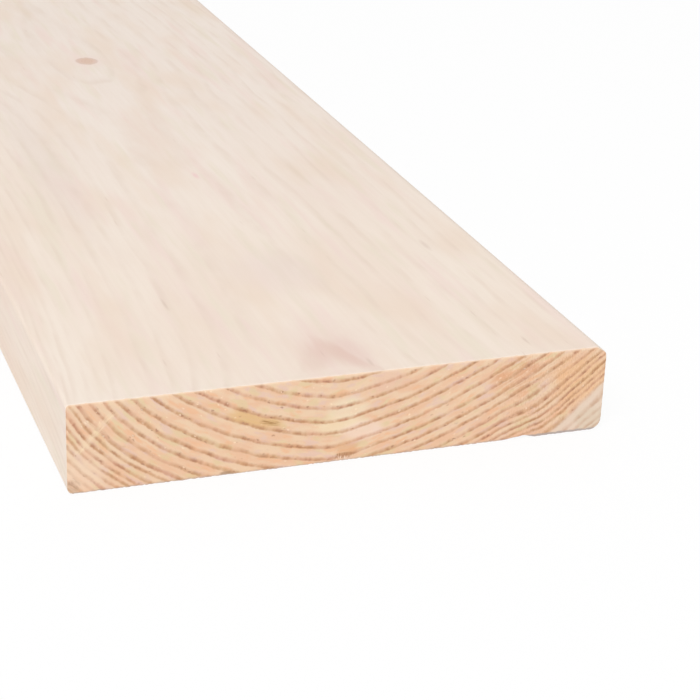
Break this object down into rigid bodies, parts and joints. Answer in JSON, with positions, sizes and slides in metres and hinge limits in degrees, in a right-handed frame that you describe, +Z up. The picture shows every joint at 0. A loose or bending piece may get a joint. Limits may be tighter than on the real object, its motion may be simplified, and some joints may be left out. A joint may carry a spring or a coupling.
{
  "type": "timber plank",
  "caption": "Planed softwood plank of plain rectangular section with eased long edges, both ends sawn square, lying on a wide face.",
  "frame": {"origin": "middle of the underside, halfway along the plank, on the level that it lies on", "axes": "+X across the width, +Y along the grain from the near sawn end to the far one, +Z up through the thickness"},
  "size_m": [0.228, 2.4, 0.038],
  "materials": {
    "pine": "matte"
  },
  "bodies": {
    "root": {"plank": "pine"}
  },
  "joints": []
}
